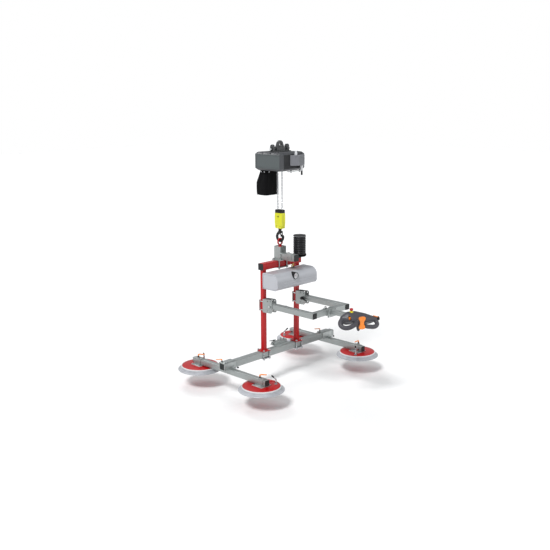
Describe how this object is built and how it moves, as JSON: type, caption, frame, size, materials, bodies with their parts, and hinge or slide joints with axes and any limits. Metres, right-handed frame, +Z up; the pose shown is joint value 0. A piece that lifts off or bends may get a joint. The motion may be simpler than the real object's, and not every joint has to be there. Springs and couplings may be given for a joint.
{
  "type": "glass panel lifter",
  "caption": "Vacuum lifter with suction pads on sliding cross beams and a steering handle, hanging on an electric chain hoist.",
  "frame": {"origin": "centre of the bore in the hoist's suspension eye", "axes": "+Z up; +X along the main beam; -Y towards the operator"},
  "size_m": [1.7, 1.6592, 2.0565],
  "materials": {
    "hoist_grey": "fine matt powder coat",
    "box_grey": "satin",
    "bag_black": "woven cloth",
    "plain_steel": "plain machined steel",
    "chain_zinc": "bright zinc plate",
    "block_yellow": "satin yellow",
    "black_plastic": "matt",
    "hook_black": "black burnished",
    "zinc_tube": "zinc plated, satin",
    "frame_red": "gloss powder coat",
    "cover_grey": "satin silver grey",
    "gauge_black": "satin",
    "needle_red": "matt",
    "cable_black": "satin sheath",
    "lip_grey": "matt",
    "lever_orange": "satin",
    "handle_grey": "fine grain",
    "stop_yellow": "satin",
    "stop_red": "satin",
    "pump_dark": "cast"
  },
  "bodies": {
    "hoist": {"hoist_housing": "hoist_grey", "hoist_fittings": "hoist_grey", "suspension_eye": "hoist_grey", "control_box": "box_grey", "chain_bag": "bag_black"},
    "load_wheel": {"load_wheel": "plain_steel"},
    "chain": {"chain": "chain_zinc"},
    "hook_block": {"block_shells": "block_yellow", "block_guide": "black_plastic"},
    "block_sheave": {"block_sheave": "plain_steel"},
    "hook": {"hook": "hook_black"},
    "hook_latch": {"hook_latch": "plain_steel"},
    "lifter": {"main_beam": "zinc_tube", "tube_caps": "black_plastic", "column_frame": "frame_red", "frame_rods": "plain_steel", "pump_cover": "cover_grey", "pump_tray": "zinc_tube", "vacuum_pump": "pump_dark", "battery": "black_plastic", "gauge": "gauge_black", "suspension_post": "zinc_tube", "lifting_ring": "frame_red", "coil_holder": "black_plastic", "spiral_cable": "cable_black", "vacuum_manifold": "plain_steel", "arm_brackets": "zinc_tube"},
    "gauge_needle": {"gauge_needle": "needle_red"},
    "manifold_lever": {"manifold_lever": "black_plastic"},
    "tilt_levers": {"tilt_levers": "black_plastic"},
    "steering_frame": {"steering_frame": "zinc_tube", "steering_caps": "black_plastic"},
    "handle_stem": {"handle_stem": "zinc_tube"},
    "stem_lever": {"stem_lever": "black_plastic"},
    "handle": {"handle_body": "handle_grey", "side_knob": "black_plastic", "stop_base": "stop_yellow"},
    "lift_rocker": {"lift_rocker": "lever_orange"},
    "suction_switch": {"suction_switch": "lever_orange"},
    "stop_button": {"stop_button": "stop_red"},
    "cross_left": {"cross_beam_left": "zinc_tube"},
    "cross_lever_left": {"cross_lever_left": "lever_orange"},
    "cross_right": {"cross_beam_right": "zinc_tube"},
    "cross_lever_right": {"cross_lever_right": "lever_orange"},
    "pad_front_left": {"pad_disc_front_left": "frame_red", "pad_lip_front_left": "lip_grey"},
    "pad_lever_front_left": {"pad_lever_front_left": "lever_orange"},
    "pad_valve_front_left": {"pad_valve_front_left": "black_plastic"},
    "pad_back_left": {"pad_disc_back_left": "frame_red", "pad_lip_back_left": "lip_grey"},
    "pad_lever_back_left": {"pad_lever_back_left": "lever_orange"},
    "pad_valve_back_left": {"pad_valve_back_left": "black_plastic"},
    "pad_front_right": {"pad_disc_front_right": "frame_red", "pad_lip_front_right": "lip_grey"},
    "pad_lever_front_right": {"pad_lever_front_right": "lever_orange"},
    "pad_valve_front_right": {"pad_valve_front_right": "black_plastic"},
    "pad_back_right": {"pad_disc_back_right": "frame_red", "pad_lip_back_right": "lip_grey"},
    "pad_lever_back_right": {"pad_lever_back_right": "lever_orange"},
    "pad_valve_back_right": {"pad_valve_back_right": "black_plastic"}
  },
  "joints": [
    {"name": "hoist_lift", "type": "slide", "parent": "hoist", "child": "hook_block", "axis": [0, 0, 1], "range_m": [-0.06, 0.14]},
    {"name": "chain_run", "type": "slide", "parent": "hoist", "child": "chain", "axis": [0, 0, 1], "range_m": [-0.03, 0.07]},
    {"name": "load_wheel_turn", "type": "hinge", "parent": "hoist", "child": "load_wheel", "pos_m": [0, 0, -0.172], "axis": [1, 0, 0], "range_deg": [-600, 260]},
    {"name": "block_sheave_turn", "type": "hinge", "parent": "hook_block", "child": "block_sheave", "pos_m": [0, 0, -0.643], "axis": [1, 0, 0], "range_deg": [-300, 130]},
    {"name": "hook_swivel", "type": "hinge", "parent": "hook_block", "child": "hook", "pos_m": [0, 0, -0.83], "axis": [0, 0, 1], "continuous": true},
    {"name": "hook_latch_turn", "type": "hinge", "parent": "hook", "child": "hook_latch", "pos_m": [0, -0.016, -0.784], "axis": [1, 0, 0], "range_deg": [0, 28], "stiffness_Nm_per_rad": 0.2, "springref_deg": -17.19},
    {"name": "ring_swing", "type": "hinge", "parent": "hook", "child": "lifter", "pos_m": [0, 0, -0.8537], "axis": [0, 1, 0], "range_deg": [-6, 6]},
    {"name": "needle_turn", "type": "hinge", "parent": "lifter", "child": "gauge_needle", "pos_m": [-0.028, -0.228, -1.1547], "axis": [0, -1, 0], "range_deg": [-240, 0]},
    {"name": "manifold_lever_turn", "type": "hinge", "parent": "lifter", "child": "manifold_lever", "pos_m": [-0.038, 0.053, -1.8204], "axis": [0, 0, -1], "range_deg": [0, 90]},
    {"name": "handle_tilt", "type": "hinge", "parent": "lifter", "child": "steering_frame", "pos_m": [0, -0.11, -1.4195], "axis": [-1, 0, 0], "range_deg": [-25, 40]},
    {"name": "tilt_lever_turn", "type": "hinge", "parent": "lifter", "child": "tilt_levers", "pos_m": [0, -0.11, -1.4195], "axis": [-1, 0, 0], "range_deg": [-30, 30]},
    {"name": "handle_shift", "type": "slide", "parent": "steering_frame", "child": "handle_stem", "axis": [1, 0, 0], "range_m": [-0.12, 0.12]},
    {"name": "stem_lever_turn", "type": "hinge", "parent": "handle_stem", "child": "stem_lever", "pos_m": [-0.041, -0.593, -1.3888], "axis": [0, 0, 1], "range_deg": [-90, 60]},
    {"name": "handle_swivel", "type": "hinge", "parent": "handle_stem", "child": "handle", "pos_m": [0, -0.877, -1.4195], "axis": [0, 0, 1], "range_deg": [-30, 70]},
    {"name": "lift_rocker_tilt", "type": "hinge", "parent": "handle", "child": "lift_rocker", "pos_m": [-0.05156, -0.98757, -1.4345], "axis": [0.9063, -0.4226, 0], "range_deg": [-5, 5], "stiffness_Nm_per_rad": 0.6},
    {"name": "suction_switch_move", "type": "slide", "parent": "handle", "child": "suction_switch", "axis": [0, 0, 1], "range_m": [-0.004, 0.004]},
    {"name": "stop_button_press", "type": "slide", "parent": "handle", "child": "stop_button", "axis": [0, 0, -1], "range_m": [0, 0.004], "stiffness_N_per_m": 600},
    {"name": "cross_slide_left", "type": "slide", "parent": "lifter", "child": "cross_left", "axis": [-1, 0, 0], "range_m": [-0.27, 0]},
    {"name": "cross_lever_turn_left", "type": "hinge", "parent": "cross_left", "child": "cross_lever_left", "pos_m": [-0.725, 0.014, -1.849], "axis": [0, 0, 1], "range_deg": [-90, 90]},
    {"name": "cross_slide_right", "type": "slide", "parent": "lifter", "child": "cross_right", "axis": [1, 0, 0], "range_m": [-0.27, 0]},
    {"name": "cross_lever_turn_right", "type": "hinge", "parent": "cross_right", "child": "cross_lever_right", "pos_m": [0.575, 0.014, -1.849], "axis": [0, 0, 1], "range_deg": [-90, 90]},
    {"name": "pad_slide_front_left", "type": "slide", "parent": "cross_left", "child": "pad_front_left", "axis": [0, -1, 0], "range_m": [-0.19, 0.025]},
    {"name": "pad_lever_turn_front_left", "type": "hinge", "parent": "pad_front_left", "child": "pad_lever_front_left", "pos_m": [-0.667, -0.4, -1.9084], "axis": [0, 0, 1], "range_deg": [-60, 60]},
    {"name": "pad_valve_turn_front_left", "type": "hinge", "parent": "pad_front_left", "child": "pad_valve_front_left", "pos_m": [-0.542, -0.467, -1.9395], "axis": [0.7071, 0.7071, 0], "range_deg": [0, 80]},
    {"name": "pad_slide_back_left", "type": "slide", "parent": "cross_left", "child": "pad_back_left", "axis": [0, 1, 0], "range_m": [-0.19, 0.025]},
    {"name": "pad_lever_turn_back_left", "type": "hinge", "parent": "pad_back_left", "child": "pad_lever_back_left", "pos_m": [-0.667, 0.4, -1.9084], "axis": [0, 0, 1], "range_deg": [-60, 60]},
    {"name": "pad_valve_turn_back_left", "type": "hinge", "parent": "pad_back_left", "child": "pad_valve_back_left", "pos_m": [-0.542, 0.467, -1.9395], "axis": [-0.7071, 0.7071, 0], "range_deg": [0, 80]},
    {"name": "pad_slide_front_right", "type": "slide", "parent": "cross_right", "child": "pad_front_right", "axis": [0, -1, 0], "range_m": [-0.19, 0.025]},
    {"name": "pad_lever_turn_front_right", "type": "hinge", "parent": "pad_front_right", "child": "pad_lever_front_right", "pos_m": [0.667, -0.4, -1.9084], "axis": [0, 0, 1], "range_deg": [-60, 60]},
    {"name": "pad_valve_turn_front_right", "type": "hinge", "parent": "pad_front_right", "child": "pad_valve_front_right", "pos_m": [0.542, -0.467, -1.9395], "axis": [0.7071, -0.7071, 0], "range_deg": [0, 80]},
    {"name": "pad_slide_back_right", "type": "slide", "parent": "cross_right", "child": "pad_back_right", "axis": [0, 1, 0], "range_m": [-0.19, 0.025]},
    {"name": "pad_lever_turn_back_right", "type": "hinge", "parent": "pad_back_right", "child": "pad_lever_back_right", "pos_m": [0.667, 0.4, -1.9084], "axis": [0, 0, 1], "range_deg": [-60, 60]},
    {"name": "pad_valve_turn_back_right", "type": "hinge", "parent": "pad_back_right", "child": "pad_valve_back_right", "pos_m": [0.542, 0.467, -1.9395], "axis": [-0.7071, -0.7071, 0], "range_deg": [0, 80]}
  ],
  "couplings": [
    {"joint": "chain_run", "follows": "hoist_lift", "ratio": 0.5},
    {"joint": "load_wheel_turn", "follows": "hoist_lift", "rad_per_m": -72.727},
    {"joint": "block_sheave_turn", "follows": "hoist_lift", "rad_per_m": -36.364}
  ]
}
